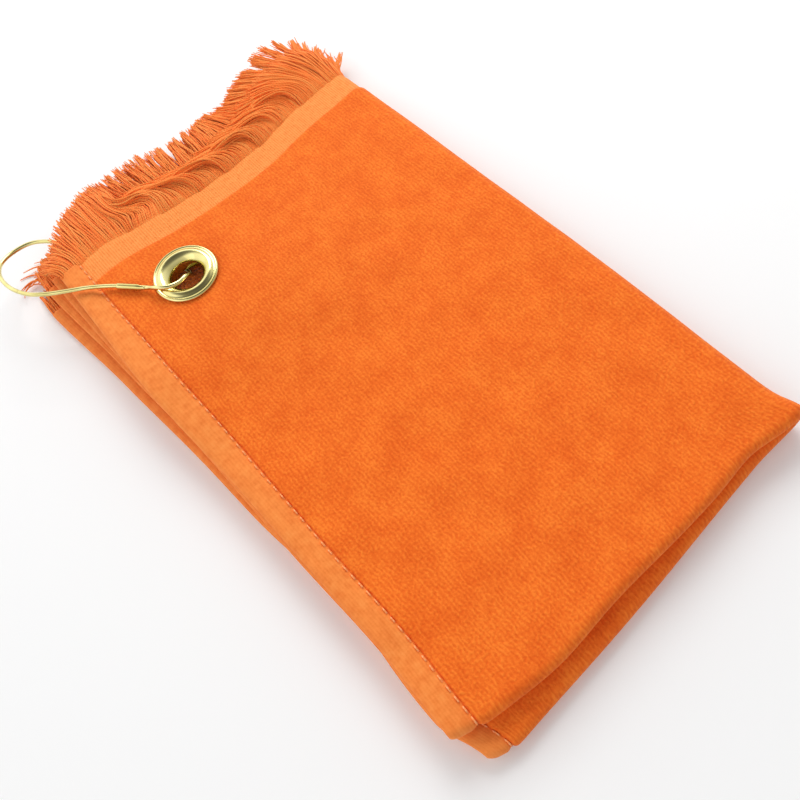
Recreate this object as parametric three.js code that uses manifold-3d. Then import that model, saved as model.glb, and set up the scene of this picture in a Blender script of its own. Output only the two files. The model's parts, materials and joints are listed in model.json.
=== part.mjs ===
// Golf towel with a grommet and a spring-wire hook, folded in four. Millimetres, +Z up.
//
// The cloth is folded twice: first across its length, fringe to fringe, and then along its length, like a book.
// Its spine is the lengthwise fold at +X, its hems lie at -X, its near fold at -Y and its fringes at +Y.
// From the floor up the layers are: lower outer, lower inner, upper inner, upper outer.
// Every cloth piece is described in three flat coordinates and then folded into place:
//   across  0 at the hemmed edge, foldedWidth at the spine
//   along   0 at the near fold, foldedLength at the root of the fringe
//   depth   distance from the middle plane of the stack, which the two halves share
import * as THREE from "three";
import { mergeVertices } from "three/addons/utils/BufferGeometryUtils.js";
import Module from "manifold-3d";

const wasm = await Module();
wasm.setup();

// Driving dimensions of the cloth
const foldedWidth = 139.7;
const foldedLength = 210;
const layerThickness = 2.8;
const layerGap = 0.3;
const hemWidth = 8.2;
const threadWidth = 0.8;
const threadDepth = 0.8;
const bandWidth = 13;
const bandThickness = 1.4;
const fringeLength = 32;
const fringeThickness = 1.6;
const pieceGap = 0.3;

// How loosely the cloth was folded
const fanPerLayer = 4;
const topLayerFan = 3.5;
const innerOverhang = 8;
const lowerLipReach = 10;
const spineFlare = 8;
const spineFlareWidth = 60;
const cornerSlope = 56;

// Driving dimensions of the grommet
const eyeletAcross = 30.5;
const eyeletFromRoot = 36;
const flangeRadius = 12.25;
const flangeHeight = 1.7;
const barrelRadius = 6;
const sheetMetal = 0.5;
const washerRadius = 11.2;
const washerThickness = 0.8;
const flangeMargin = 4;

// Driving dimensions of the hook
const wireDiameter = 1.6;
const wireClearance = 0.35;
const sleeveStart = 13;
const sleeveLength = 11;
const gateLine = 7.5;
const gateLength = 35;
const sleeveWall = 0.28;
const sleeveClearance = 0.12;
const hookDirection = 131;
const gateTipGap = 0.8;

// Levels through the stack, measured from its middle plane
const innerFace = layerGap / 2;
const innerBack = innerFace + layerThickness;
const outerFace = innerBack + layerGap;
const outerBack = outerFace + layerThickness;
const lipCentre = (innerBack + outerFace) / 2;
const innerMiddle = (innerFace + innerBack) / 2;
const outerMiddle = (outerFace + outerBack) / 2;
const middlePlane = outerBack;
const spineStart = foldedWidth - outerBack;

// Levels above the floor at the grommet's corner, where the top layer lies over the hook's back leg
const wireRadius = wireDiameter / 2;
const backLegLevel = middlePlane + innerBack + wireClearance + wireRadius;
const barrelBottom = backLegLevel + wireRadius + wireClearance;
const washerBottom = barrelBottom + sheetMetal + pieceGap;
const liftedBack = washerBottom + washerThickness + pieceGap;
const cornerLift = liftedBack - middlePlane - outerFace;
const liftedTop = liftedBack + layerThickness;
const flangeBottom = liftedTop + pieceGap;
const rimLevel = flangeBottom + flangeHeight + wireClearance + wireRadius;
const sleeveBore = wireRadius + sleeveClearance;
const sleeveRadius = sleeveBore + sleeveWall;
const gateLevel = liftedTop + wireClearance + sleeveRadius;
const eyeletAlong = foldedLength - eyeletFromRoot;
const liftedAcross = eyeletAcross + flangeRadius + flangeMargin;
const liftedAlong = eyeletAlong - flangeRadius - flangeMargin;

// Every piece breaks its surface at the same stations, so neighbouring layers bend alike.
const acrossStations = [
  ...evenly(0, liftedAcross, 4),
  ...evenly(liftedAcross, spineStart, 8).slice(1),
  ...evenly(spineStart, foldedWidth, 5).slice(1),
];
const alongStations = [
  ...evenly(0, liftedAlong - cornerSlope, 4),
  ...evenly(liftedAlong - cornerSlope, liftedAlong, 6).slice(1),
  ...evenly(liftedAlong, foldedLength, 3).slice(1),
];

// Values from first to last in equal steps.
function evenly(first, last, steps) {
  return Array.from({ length: steps + 1 }, (_, i) => first + ((last - first) * i) / steps);
}

// The given end values with every station that lies between them, in order from first to last.
function stationsFrom(first, last, stations) {
  const low = Math.min(first, last);
  const high = Math.max(first, last);
  const between = stations.filter((s) => s > low + 0.01 && s < high - 0.01);
  const rising = [low, ...between, high];
  return first < last ? rising : rising.reverse();
}

// The slack of the fold in plan: how far a layer has slid from its nominal place.
// Layers fan out at the hems towards the fringe, the lower half reaches further at the near fold, the inner
// layers reach further at the fringe, and the far end of the spine stands out.
function slide(side, isOuter, across, along) {
  const openness = 1 - across / foldedWidth;
  const reach = Math.min(Math.max(along / foldedLength, 0), 1);
  const rank = side > 0 ? (isOuter ? 0 : 1) : isOuter ? 3 : 2;
  const fan = (topLayerFan + fanPerLayer * rank) * openness * reach;
  const overhang = isOuter ? 0 : innerOverhang * reach;
  const lipReach = side < 0 ? lowerLipReach * openness * (1 - reach) : 0;
  const flareShare = THREE.MathUtils.smoothstep(across, foldedWidth - spineFlareWidth, foldedWidth);
  return [-fan, overhang - lipReach + spineFlare * flareShare * reach * reach];
}

// How far the top layer stands up at the corner with the grommet.
function liftAt(across, along) {
  const acrossShare = 1 - THREE.MathUtils.smoothstep(across, liftedAcross, liftedAcross + cornerSlope);
  return cornerLift * acrossShare * THREE.MathUtils.smoothstep(along, liftedAlong - cornerSlope, liftedAlong);
}

// Folds a flat point into place. Side is +1 for the upper half and -1 for the lower half. Past spineStart the
// layers turn round the spine in quarter circles about one centre, down to the middle plane.
function place(side, across, along, depth) {
  const isOuter = depth > lipCentre;
  const turn = (Math.max(across - spineStart, 0) / (foldedWidth - spineStart)) * (Math.PI / 2);
  const rise = Math.max(depth * Math.cos(turn), innerFace);
  const lift = side > 0 && isOuter ? liftAt(across, along) : 0;
  const [slideX, slideY] = slide(side, isOuter, across, along);
  return [
    Math.min(across, spineStart) + depth * Math.sin(turn) + slideX,
    along + slideY,
    middlePlane + side * rise + lift,
  ];
}

// The triangles that close a placed ring, turning the way its section turns. They are found on the ring's folded
// shape, in the plane it lies in: level at the spine, and upright anywhere else.
function capFaces(side, ring) {
  const heights = ring.map((p) => p[2]);
  const isLevel = Math.max(...heights) - Math.min(...heights) < 1e-6;
  const flat = ring.map(([x, y, z]) => new THREE.Vector2(y, isLevel ? x : side * z));
  return THREE.ShapeUtils.triangulateShape(flat, []);
}

// A closed solid: a section of [along, depth] points carried from one place across the towel to another.
function sweptSolid(side, acrossFrom, acrossTo, outline) {
  const flat = outline.map(([along, depth]) => new THREE.Vector2(along, depth));
  if (THREE.ShapeUtils.isClockWise(flat)) flat.reverse();
  const stations = stationsFrom(acrossFrom, acrossTo, acrossStations);
  const rings = stations.map((across) => flat.map((p) => place(side, across, p.x, p.y)));
  const count = flat.length;
  const faces = [];
  for (let i = 0; i < stations.length - 1; i++) {
    for (let j = 0; j < count; j++) {
      const here = i * count + j;
      const next = i * count + ((j + 1) % count);
      faces.push([here, next, next + count], [here, next + count, here + count]);
    }
  }
  const lastRing = (stations.length - 1) * count;
  faces.push(...capFaces(side, rings[0]).map(([a, b, c]) => [a, c, b]));
  faces.push(...capFaces(side, rings.at(-1)).map((face) => face.map((corner) => corner + lastRing)));
  const facingOut = side > 0 ? faces : faces.map(([a, b, c]) => [a, c, b]);
  const geometry = new THREE.BufferGeometry();
  geometry.setAttribute("position", new THREE.Float32BufferAttribute(rings.flat(2), 3));
  geometry.setIndex(facingOut.flat());
  return geometry;
}

// One straight run of a section, at one depth.
function run(alongFrom, alongTo, depth) {
  return stationsFrom(alongFrom, alongTo, alongStations).map((along) => [along, depth]);
}

// The round of the near fold: a half circle about the level between two layers.
function lip(radius, steps) {
  return evenly(0, Math.PI, steps).map((t) => [-radius * Math.sin(t), lipCentre + radius * Math.cos(t)]);
}

// The section of a half's two layers, joined at the near fold.
function doubledSection(alongEnd) {
  const outside = [...run(alongEnd, 0, outerBack), ...lip(outerBack - lipCentre, 6).slice(1, -1)];
  const inside = [...lip(outerFace - lipCentre, 4).slice(1, -1)].reverse();
  return [
    ...outside,
    ...run(0, alongEnd, innerFace),
    ...run(alongEnd, 0, innerBack),
    ...inside,
    ...run(0, alongEnd, outerFace),
  ];
}

// The section of one layer's stretch, of its own thickness about the layer's middle.
function layerSection(alongFrom, alongTo, middle, thickness) {
  return [
    ...run(alongFrom, alongTo, middle - thickness / 2),
    ...run(alongTo, alongFrom, middle + thickness / 2),
  ];
}

// A geometry as a manifold solid, moved by its own place, and back.
function toSolid(geometry) {
  const bare = geometry.clone();
  bare.deleteAttribute("normal");
  bare.deleteAttribute("uv");
  const merged = mergeVertices(bare, 1e-4);
  return new wasm.Manifold(
    new wasm.Mesh({
      numProp: 3,
      vertProperties: merged.attributes.position.array,
      triVerts: new Uint32Array(merged.index.array),
    }),
  );
}

function fromSolid(solid) {
  const mesh = solid.getMesh();
  const geometry = new THREE.BufferGeometry();
  geometry.setAttribute("position", new THREE.Float32BufferAttribute(mesh.vertProperties, 3));
  geometry.setIndex(Array.from(mesh.triVerts));
  return geometry;
}

function cut(body, tool) {
  return fromSolid(toSolid(body).subtract(toSolid(tool)));
}

// Materials
function finish(color, roughness, metalness) {
  return () => new THREE.MeshStandardMaterial({ color, roughness, metalness });
}

const velour = finish(0xf0702a, 0.95, 0);
const flatWeave = finish(0xff8c40, 0.9, 0);
const yarn = finish(0xfa8040, 0.9, 0);
const sewingThread = finish(0xffa060, 0.7, 0);
const brass = finish(0xd8cc82, 0.22, 1);

const stack = new THREE.Group();

function addPiece(name, geometry, material, parent = stack) {
  const mesh = new THREE.Mesh(geometry, material());
  mesh.name = name;
  parent.add(mesh);
  return mesh;
}

// Cloth: the two halves of the towel, each with its hem, sewing thread, woven bands and fringes. The sewing thread
// lies in the furrow between the hem and the pile.
function clothHalf(name, side) {
  const threadEdge = hemWidth + pieceGap;
  const clothEdge = threadEdge + threadWidth + pieceGap;
  const clothEnd = foldedLength - bandWidth - pieceGap / 2;
  const bandStart = foldedLength - bandWidth + pieceGap / 2;
  const fringeRoot = foldedLength + pieceGap;
  const fringeTip = fringeRoot + fringeLength;
  const threadSection = layerSection(0, foldedLength, outerBack - threadDepth / 2, threadDepth);
  const hem = sweptSolid(side, 0, hemWidth, doubledSection(foldedLength));
  const thread = sweptSolid(side, threadEdge, threadEdge + threadWidth, threadSection);
  let cloth = sweptSolid(side, clothEdge, foldedWidth, doubledSection(clothEnd));
  if (side > 0) cloth = cut(cloth, eyeletHole());
  addPiece(`${name}_cloth`, cloth, velour);
  addPiece(`${name}_hem`, hem, flatWeave);
  addPiece(`${name}_hem_thread`, thread, sewingThread);
  for (const [layer, middle] of [["inner", innerMiddle], ["outer", outerMiddle]]) {
    const band = layerSection(bandStart, foldedLength, middle, bandThickness);
    const fringe = layerSection(fringeRoot, fringeTip, middle, fringeThickness);
    addPiece(`${name}_${layer}_band`, sweptSolid(side, clothEdge, foldedWidth, band), flatWeave);
    addPiece(`${name}_${layer}_fringe`, sweptSolid(side, 0, foldedWidth, fringe), yarn);
  }
}

// The hole in the top layer, with clearance round the barrel.
function eyeletHole() {
  const radius = barrelRadius + sheetMetal + pieceGap;
  const hole = new THREE.CylinderGeometry(radius, radius, layerThickness + 2, 32);
  hole.rotateX(Math.PI / 2);
  hole.translate(eyeletAcross, eyeletAlong, liftedBack + layerThickness / 2);
  return hole;
}

// Grommet: the eyelet's rolled flange and barrel through the top layer, over a washer on its back.
function turned(profile, sides) {
  const geometry = new THREE.LatheGeometry(profile.map(([r, z]) => new THREE.Vector2(r, z)), sides);
  geometry.rotateX(Math.PI / 2);
  return geometry;
}

function eyelet() {
  const neck = barrelRadius + sheetMetal;
  const valley = flangeRadius - 1.3;
  const crest = barrelRadius + 2.4;
  const below = barrelBottom - flangeBottom;
  const foot = neck + 1.4;
  const profile = [
    [barrelRadius + 0.3, below],
    [barrelRadius, below + sheetMetal],
    [barrelRadius, -0.4],
    [barrelRadius + 0.35, 0.45],
    [barrelRadius + 1.2, flangeHeight - 0.3],
    [crest, flangeHeight],
    [crest + 1.2, flangeHeight - 0.3],
    [valley, flangeHeight - 0.8],
    [valley + 0.6, flangeHeight - 0.65],
    [flangeRadius - 0.2, 0.6],
    [flangeRadius, 0.2],
    [flangeRadius - 0.3, 0],
    [neck + 0.6, 0],
    [neck, -0.5],
    [neck, below + sheetMetal],
    [foot, below + sheetMetal],
    [foot, below],
    [barrelRadius + 0.3, below],
  ];
  return turned(profile.reverse(), 40);
}

function washer() {
  const bore = barrelRadius + sheetMetal + pieceGap;
  const half = washerThickness / 2;
  const profile = [
    [bore, -half],
    [washerRadius - 0.3, -half],
    [washerRadius, 0],
    [washerRadius - 0.3, half],
    [bore, half],
    [bore, -half],
  ];
  return turned(profile, 32);
}

function grommet() {
  const group = new THREE.Group();
  group.position.set(eyeletAcross, eyeletAlong, 0);
  stack.add(group);
  addPiece("grommet_eyelet", eyelet(), brass, group).position.z = flangeBottom;
  addPiece("grommet_washer", washer(), brass, group).position.z = washerBottom + washerThickness / 2;
}

// Hook: one length of spring wire bent to a teardrop ring, about the eyelet's axis.
// Its points run from the end held in the sleeve, over the flange and down through the eyelet, out along the back
// leg, round the bow and back along the gate to its free tip. X runs along the hook and Y across it.
function hookCurve() {
  const nose = rimLevel - flangeHeight;
  const throat = (nose + backLegLevel) / 2;
  const sleeveMiddle = sleeveStart + sleeveLength / 2;
  const bow = (share) => backLegLevel + (gateLevel - backLegLevel) * share;
  const points = [
    [sleeveMiddle - gateTipGap / 2, gateLine, gateLevel],
    [sleeveStart + 1, gateLine, gateLevel],
    [sleeveStart - 1, gateLine, gateLevel + 0.05],
    [7.4, 8.4, rimLevel],
    [3.4, 7.9, rimLevel],
    [0.2, 5, rimLevel - 0.9],
    [-1, 1.9, nose],
    [-0.7, -1.1, throat],
    [0.9, -3.2, backLegLevel + 0.9],
    [3.4, -5.4, backLegLevel],
    [7.5, -7.2, backLegLevel],
    [20, -9.3, backLegLevel],
    [45, -13, backLegLevel],
    [65, -16.2, backLegLevel],
    [74, -14.8, backLegLevel],
    [79, -9, bow(0.14)],
    [79.8, -3.2, bow(0.36)],
    [77.4, 2, bow(0.6)],
    [72.5, 7, bow(0.82)],
    [65.8, 11, bow(0.95)],
    [58.5, 12.9, gateLevel],
    [52.2, 12.6, gateLevel],
    [44.5, 11, gateLevel],
    [36, 8.9, gateLevel],
    [29.5, 7.9, gateLevel],
    [sleeveStart + sleeveLength + 1, gateLine, gateLevel],
    [sleeveStart + sleeveLength - 1, gateLine, gateLevel],
    [sleeveMiddle + gateTipGap / 2, gateLine, gateLevel],
  ];
  return new THREE.CatmullRomCurve3(points.map(([x, y, z]) => new THREE.Vector3(x, y, z)), false, "centripetal");
}

// A round wire along the stretch of a curve between two shares of its length.
function wireAlong(curve, from, to, steps, sides) {
  const stretch = new THREE.CatmullRomCurve3(evenly(from, to, steps).map((t) => curve.getPointAt(t)));
  const section = new THREE.Shape(
    evenly(0, 2 * Math.PI, sides)
      .slice(0, -1)
      .map((t) => new THREE.Vector2(wireRadius * Math.cos(t), wireRadius * Math.sin(t))),
  );
  return new THREE.ExtrudeGeometry(section, { steps, bevelEnabled: false, extrudePath: stretch });
}

// The sleeve is a channel open towards the inside of the ring, so the gate's tip can leave it.
function sleeve() {
  const lipLength = 0.5;
  const section = new THREE.Shape();
  section.moveTo(-lipLength, -sleeveRadius);
  section.lineTo(0, -sleeveRadius);
  section.absarc(0, 0, sleeveRadius, -Math.PI / 2, Math.PI / 2, false);
  section.lineTo(-lipLength, sleeveRadius);
  section.lineTo(-lipLength, sleeveBore);
  section.lineTo(0, sleeveBore);
  section.absarc(0, 0, sleeveBore, Math.PI / 2, -Math.PI / 2, true);
  section.lineTo(-lipLength, -sleeveBore);
  return new THREE.ExtrudeGeometry(section, { depth: sleeveLength, bevelEnabled: false, curveSegments: 8 });
}

function hook() {
  const group = new THREE.Group();
  group.position.set(eyeletAcross, eyeletAlong, 0);
  group.rotation.z = THREE.MathUtils.degToRad(hookDirection);
  stack.add(group);
  const curve = hookCurve();
  const length = curve.getLength();
  const jointGap = pieceGap / length;
  const gateStart = 1 - gateLength / length;
  addPiece("hook_wire", wireAlong(curve, 0, gateStart - jointGap, 84, 8), brass, group);
  addPiece("hook_gate", wireAlong(curve, gateStart, 1, 18, 8), brass, group);
  const channel = addPiece("hook_sleeve", sleeve(), brass, group);
  channel.matrixAutoUpdate = false;
  channel.matrix.makeBasis(
    new THREE.Vector3(0, 1, 0),
    new THREE.Vector3(0, 0, 1),
    new THREE.Vector3(1, 0, 0),
  );
  channel.matrix.setPosition(sleeveStart, gateLine, gateLevel);
}

clothHalf("lower", -1);
clothHalf("upper", 1);
grommet();
hook();

// The part's own frame has its origin at the bottom centre of the whole.
const golfTowel = new THREE.Group();
golfTowel.add(stack);
golfTowel.updateMatrixWorld(true);
const whole = new THREE.Box3().setFromObject(golfTowel, true);
const centre = whole.getCenter(new THREE.Vector3());
stack.position.set(-centre.x, -centre.y, -whole.min.z);

export default golfTowel;
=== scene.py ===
import json
import math

import bpy
import numpy as np
from mathutils import Matrix, Vector


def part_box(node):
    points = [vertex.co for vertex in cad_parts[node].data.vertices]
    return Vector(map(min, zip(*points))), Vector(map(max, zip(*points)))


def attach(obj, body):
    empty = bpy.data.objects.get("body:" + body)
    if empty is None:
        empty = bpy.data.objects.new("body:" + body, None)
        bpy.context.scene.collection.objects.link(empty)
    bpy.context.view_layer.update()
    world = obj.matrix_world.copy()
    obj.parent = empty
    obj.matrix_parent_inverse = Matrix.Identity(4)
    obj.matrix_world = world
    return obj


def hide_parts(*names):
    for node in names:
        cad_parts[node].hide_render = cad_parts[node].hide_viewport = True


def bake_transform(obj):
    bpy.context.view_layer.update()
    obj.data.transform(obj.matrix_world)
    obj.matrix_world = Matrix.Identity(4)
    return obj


# A folded velour golf towel with a brass eyelet and a spring-wire hook. Shapes are worked out in
# millimetres in the towel's own coordinates: x across from the hems to the spine, y along from the
# near fold to the fringe, z up from the floor. toFrame() carries them into the frame, in metres.
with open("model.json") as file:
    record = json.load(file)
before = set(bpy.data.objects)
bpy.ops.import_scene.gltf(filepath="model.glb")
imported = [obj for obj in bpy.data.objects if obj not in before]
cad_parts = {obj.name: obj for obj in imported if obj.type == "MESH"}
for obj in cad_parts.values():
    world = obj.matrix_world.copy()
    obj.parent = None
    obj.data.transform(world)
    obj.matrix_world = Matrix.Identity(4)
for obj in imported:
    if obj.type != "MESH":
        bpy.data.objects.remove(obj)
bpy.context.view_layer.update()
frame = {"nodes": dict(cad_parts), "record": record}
print("frame loaded:", len(frame["nodes"]), "nodes")

mm = 0.001
joints = {joint["name"]: joint for joint in frame["record"]["behaviour"]["joints"]}

towel = {
    "width": 139.7,             # folded width, hem to spine
    "length": 210.0,            # folded length, near fold to fringe root
    "layer": 2.8,               # thickness of one layer with its pile
    "gap": 0.3,                 # air between neighbouring layers
    "topFan": 3.5,              # how far the top layer's hem slides out at the fringe
    "fanPerLayer": 4.0,         # and how much further each lower layer does
    "innerOverhang": 8.0,       # the inner layers reach further at the fringe
    "lowerLipReach": 10.0,      # the lower half reaches further at the near fold
    "spineFlare": 8.0,          # the far end of the spine stands out
    "spineFlareWidth": 60.0,
    "cornerLift": 3.9,          # the top layer lies over the hook's back leg
    "cornerSlope": 56.0,
    "liftedAcross": 46.75,
    "liftedAlong": 157.75,
    "eyeletAcross": 30.5,
    "eyeletAlong": 174.0,
}
width, length = towel["width"], towel["length"]
halfLayer = towel["layer"] / 2
innerMiddle = towel["gap"] / 2 + halfLayer
outerMiddle = innerMiddle + towel["layer"] + towel["gap"]
lipCentre = (innerMiddle + outerMiddle) / 2
lipRadius = outerMiddle - lipCentre
lipHalfArc = lipRadius * math.pi / 2
middlePlane = outerMiddle + halfLayer
spineStart = width - middlePlane

eyeletAxis = np.array(joints["hook_swivel"]["pos_m"]) / mm
stackOrigin = np.array([eyeletAxis[0] - towel["eyeletAcross"], eyeletAxis[1] - towel["eyeletAlong"], 0.0])


def toFrame(points):
    # towel millimetres to frame metres: a shift and a scale
    return (np.asarray(points, float) + stackOrigin) * mm


def smoothStep(value, low, high):
    # 0 below low, 1 above high, and 3s^2 - 2s^3 between them
    share = np.clip((value - low) / (high - low), 0, 1)
    return share * share * (3 - 2 * share)


def ripple(x, y, size, seed):
    # gentle unevenness between about -1 and 1: seven sine waves of about that size, each with its own
    # direction, length and phase, added up and scaled down
    draw = np.random.default_rng(seed)
    total = 0.0
    for direction, stretch, phase in draw.uniform([0, 0.7, 0], [math.pi, 1.5, 2 * math.pi], (7, 3)):
        run = x * math.cos(direction) + y * math.sin(direction)
        total = total + np.sin(2 * math.pi * run / (size * stretch) + phase)
    return total / 3.2


def bell(value, height, centre, spread):
    # e to the minus square: its height at the centre, and e^-1 of that one spread away
    return height * np.exp(-(((value - centre) / spread) ** 2))


def bells(value, waves):
    # several bells added up, each as its height, centre and spread
    return sum(bell(value, *wave) for wave in waves)


def slope(value, amount, low, high):
    # nothing below low, rising smoothly to amount at high
    return amount * smoothStep(value, low, high)


# Slow waves of the settled cloth: a bell is (height, centre, spread), a slope is (amount, from, to)
settle = {
    "hemInNear": (1.2, 30, 26),               # the top hem wanders in near the lip
    "hemOutFar": (-1.7, 95, 200),             # and out near the fringe
    "hemBelly": (-2.4, 140, 42),              # and its edge bellies out halfway
    "hemEdge": 9,                             # how far in from the hem that belly reaches
    "lowerHemIn": [(4.3, 57, 26), (2.2, 114, 42)],
    "lowerHemOut": (-2.0, 165, 212),
    "lowerCornerIn": 4.4,                     # the lower lip's corner is tucked in
    "spineIn": -0.75,
    "spineBelly": (1.1, 72, 50),
    "ear": (2.4, -1, 6),                      # the corner of the two folds stands out
    "spineWaist": (-1.0, 150, 208),
    "spineLip": (-1.2, 116, width),
    "upperLip": [(-2.6, 35, 20), (-0.9, 78, 26), (1.4, 118, 12), (2.4, -1, 8)],
    "lowerLip": [(-1.2, 60, 45), (3.0, -2, 7)],
    "fringeLine": [(2.2, 20, 14), (-3.6, 57, 26), (1.5, 103, 16)],
    "innerLine": 1.8, "innerLineSize": 48,
    "loft": 0.07, "loftSize": 75.0,           # uneven thickness of the upper half
    "fineLoft": 0.03, "fineLoftSize": 24,
    "flatRound": (18, 60),                    # the cloth is flat round the eyelet
}


def settleShift(side, across, along, rise, outer):
    # how the cloth has wandered from its drawn place: slow waves of the hems, lips, spine and
    # fringe line, each fading inwards, and an uneven loft that leaves the plane between the halves flat
    upper = side > 0
    fromHem = 1 - smoothStep(across, 0, 60)
    fromSpine = smoothStep(across, 85, width)
    nearLip = 1 - smoothStep(along, -3, 45)
    body = 1 - smoothStep(across, 112, width)
    upperX = fromHem * (bell(along, *settle["hemInNear"]) + slope(along, *settle["hemOutFar"]))
    belly = bell(along, *settle["hemBelly"]) * (1 - smoothStep(across, 0, settle["hemEdge"]))
    upperX = upperX + belly * outer
    lowerX = fromHem * (bells(along, settle["lowerHemIn"]) + slope(along, *settle["lowerHemOut"]))
    corner = (1 - smoothStep(along, -3, 14)) * (1 - smoothStep(across, 0, 26))
    lowerX = lowerX + settle["lowerCornerIn"] * corner
    spineX = settle["spineIn"] + bell(along, *settle["spineBelly"]) + bell(along, *settle["ear"])
    spineX = fromSpine * (spineX + slope(along, *settle["spineWaist"]))
    spineY = slope(across, *settle["spineLip"]) * nearLip
    lips = np.where(upper, bells(across, settle["upperLip"]), bells(across, settle["lowerLip"]))
    root = smoothStep(along, 130, length) * body
    innerWave = settle["innerLine"] * ripple(across, 0 * across, settle["innerLineSize"], 5)
    shiftX = np.where(upper, upperX, lowerX) + spineX
    shiftY = spineY + nearLip * body * lips
    shiftY = shiftY + root * np.where(upper & outer, bells(across, settle["fringeLine"]), innerWave)
    nearEyelet = np.hypot(across - towel["eyeletAcross"], along - towel["eyeletAlong"])
    free = smoothStep(nearEyelet, *settle["flatRound"])
    loft = settle["loft"] * ripple(across, along, settle["loftSize"], 11)
    loft = loft + settle["fineLoft"] * ripple(across, along, settle["fineLoftSize"], 12)
    shiftZ = np.where(upper, rise * loft * free, 0.0)
    return shiftX, shiftY, shiftZ


def foldPlace(side, across, along, depth, outer):
    # folds a flat point into place: side is +1 for the upper half and -1 for the lower, and depth is
    # the distance from the plane between the halves. Past spineStart the layers turn round the spine
    # in quarter circles about one centre, down to that plane.
    openness = 1 - across / width
    reach = np.clip(along / length, 0, 1)
    rank = np.where(side > 0, np.where(outer, 0, 1), np.where(outer, 3, 2))
    fan = (towel["topFan"] + towel["fanPerLayer"] * rank) * openness * reach
    overhang = np.where(outer, 0.0, towel["innerOverhang"] * reach)
    lipReach = np.where(side < 0, towel["lowerLipReach"] * openness * (1 - reach), 0.0)
    flare = towel["spineFlare"] * smoothStep(across, width - towel["spineFlareWidth"], width) * reach**2
    turn = np.clip((across - spineStart) / (width - spineStart), 0, 1) * math.pi / 2
    rise = depth * np.cos(turn)
    liftedAcross, liftedAlong = towel["liftedAcross"], towel["liftedAlong"]
    lift = towel["cornerLift"] * (1 - smoothStep(across, liftedAcross, liftedAcross + towel["cornerSlope"]))
    lift = lift * smoothStep(along, liftedAlong - towel["cornerSlope"], liftedAlong)
    shiftX, shiftY, shiftZ = settleShift(side, across, along, rise, outer)
    x = np.minimum(across, spineStart) + depth * np.sin(turn) - fan + shiftX
    y = along + overhang - lipReach + flare + shiftY
    z = middlePlane + side * rise + np.where((side > 0) & outer, lift, 0.0) + shiftZ
    return np.stack(np.broadcast_arrays(x, y, z), -1)


def clothPoint(side, across, s, t):
    # a point of the folded cloth: s runs from the inner layer's root (negative) round the near fold
    # to the outer layer's root, and t is the height over the cloth's middle, towards the velour face
    turn = np.clip(s / lipRadius, -math.pi / 2, math.pi / 2)
    beyond = np.maximum(np.abs(s) - lipHalfArc, 0)
    along = beyond - (lipRadius + t) * np.cos(turn)
    depth = lipCentre + (lipRadius + t) * np.sin(turn)
    return foldPlace(side, across, along, depth, s > 0)


# Meshes
def linear(code):
    # an sRGB hex colour as linear light
    parts = [int(code[i : i + 2], 16) / 255 for i in (1, 3, 5)]
    return [c / 12.92 if c <= 0.04045 else ((c + 0.055) / 1.055) ** 2.4 for c in parts] + [1.0]


def meshFrom(name, points, quads, flat=None):
    # a mesh from millimetre points and quads, turned to face outwards, with its pattern place
    corners = points[quads]
    first = np.cross(corners[:, 1] - corners[:, 0], corners[:, 2] - corners[:, 0])
    second = np.cross(corners[:, 2] - corners[:, 0], corners[:, 3] - corners[:, 0])
    volume = ((first + second) * corners.mean(1)).sum()
    if volume < 0:
        quads = quads[:, ::-1]
    mesh = bpy.data.meshes.new(name)
    mesh.vertices.add(len(points))
    mesh.vertices.foreach_set("co", toFrame(points).ravel())
    mesh.loops.add(quads.size)
    mesh.loops.foreach_set("vertex_index", np.ascontiguousarray(quads).ravel())
    mesh.polygons.add(len(quads))
    mesh.polygons.foreach_set("loop_start", np.arange(0, quads.size, 4))
    mesh.update(calc_edges=True)
    mesh.polygons.foreach_set("use_smooth", np.ones(len(quads), bool))
    if flat is not None:
        place = mesh.attributes.new("flatPlace", "FLOAT_VECTOR", "POINT")
        place.data.foreach_set("vector", np.asarray(flat, float).ravel())
    piece = bpy.data.objects.new(name, mesh)
    bpy.context.scene.collection.objects.link(piece)
    return piece


def skinQuads(shape, closedAlong=False):
    # the quads over many skins at once: shape is (skins, rings, points round). Neighbouring rings are
    # joined, and the two end rings are closed with a ladder of quads, unless the rings close on
    # themselves. An odd ring keeps one small triangle open at each end
    skins, rings, around = shape
    index = np.arange(skins * rings * around).reshape(shape)
    nextRound = np.roll(index, -1, axis=2)
    if closedAlong:
        far, farRound = np.roll(index, -1, axis=1), np.roll(nextRound, -1, axis=1)
        return np.stack([index, nextRound, farRound, far], -1).reshape(-1, 4)
    walls = np.stack([index[:, :-1], nextRound[:, :-1], nextRound[:, 1:], index[:, 1:]], -1).reshape(-1, 4)
    half = around // 2
    low, high = np.arange(half - 1), around - 1 - np.arange(half - 1)
    ladders = []
    for ring, order in ((index[:, 0], 1), (index[:, -1], -1)):
        ladder = np.stack([ring[:, low + 1], ring[:, low], ring[:, high], ring[:, high - 1]], -1)
        ladders.append(ladder.reshape(-1, 4)[:, ::order])
    return np.concatenate([walls, *ladders])


def tubes(paths, radii, sides):
    # round tubes along many paths at once: at each station a ring stands square to the path. paths is
    # (tubes, stations, 3) and radii (tubes, stations)
    along = np.gradient(paths, axis=1)
    along /= np.linalg.norm(along, axis=2, keepdims=True)
    sideways = np.cross(along, [0.0, 0.0, 1.0])
    sideways /= np.maximum(np.linalg.norm(sideways, axis=2, keepdims=True), 1e-6)
    upwards = np.cross(sideways, along)
    angle = 2 * math.pi * np.arange(sides) / sides
    ring = np.cos(angle)[:, None] * sideways[:, :, None] + np.sin(angle)[:, None] * upwards[:, :, None]
    return paths[:, :, None] + radii[:, :, None, None] * ring


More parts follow.
